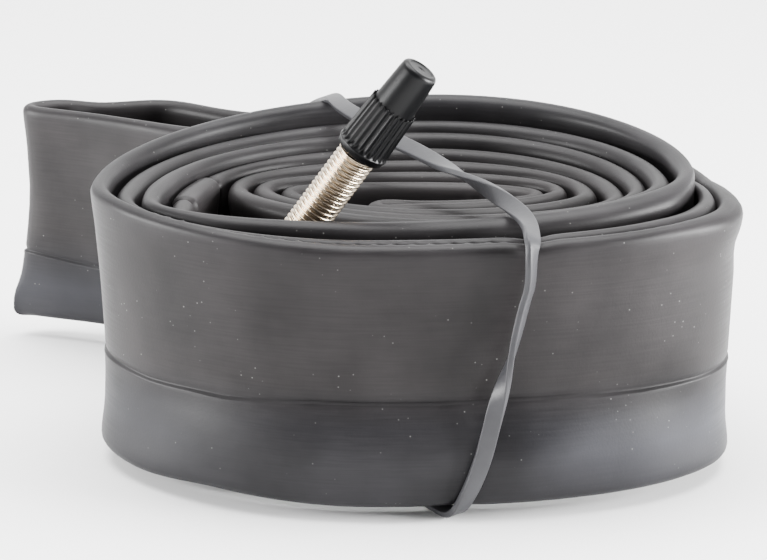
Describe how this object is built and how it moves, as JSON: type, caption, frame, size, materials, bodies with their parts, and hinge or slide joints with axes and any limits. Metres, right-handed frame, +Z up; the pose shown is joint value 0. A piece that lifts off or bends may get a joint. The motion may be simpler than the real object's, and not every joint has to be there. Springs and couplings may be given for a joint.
{
  "type": "inner tube",
  "caption": "Deflated bicycle inner tube, folded double, rolled into an oval pack and held by a rubber band, with a capped Presta valve",
  "frame": {"origin": "on the surface the pack stands on, under the middle of the whole pack", "axes": "+Z up, +X along the pack's length, away from the free tail, +Y to the back of the pack; the tube's flat width runs along Z"},
  "size_m": [0.115, 0.099, 0.0649],
  "materials": {
    "butyl": "matte",
    "base_rubber": "matte",
    "band_rubber": "matte",
    "seal_rubber": "satin",
    "nickel": "bright plating",
    "brass": "turned",
    "cap_plastic": "satin"
  },
  "bodies": {
    "roll": {"tube": "butyl", "valve_base": "base_rubber", "rubber_band": "band_rubber", "valve_stem": "nickel", "core_body": "nickel", "core_gasket": "seal_rubber"},
    "dust_cap": {"dust_cap": "cap_plastic"},
    "rim_nut": {"rim_nut": "nickel"},
    "lock_nut": {"lock_nut": "nickel"},
    "valve_pin": {"valve_pin": "brass", "pin_seal": "seal_rubber"}
  },
  "joints": [
    {"name": "cap_lift", "type": "slide", "parent": "roll", "child": "dust_cap", "axis": [0.5663, -0.1501, 0.8104], "range_m": [0, 0.018]},
    {"name": "rim_nut_run", "type": "slide", "parent": "roll", "child": "rim_nut", "axis": [0.5663, -0.1501, 0.8104], "range_m": [0, 0.005]},
    {"name": "lock_nut_turn", "type": "hinge", "parent": "roll", "child": "lock_nut", "pos_m": [0.00564, -0.03074, 0.0556], "axis": [0.5663, -0.1501, 0.8104], "range_deg": [0, 1440]},
    {"name": "pin_press", "type": "slide", "parent": "roll", "child": "valve_pin", "axis": [0.5663, -0.1501, 0.8104], "range_m": [-0.00165, 0]}
  ]
}
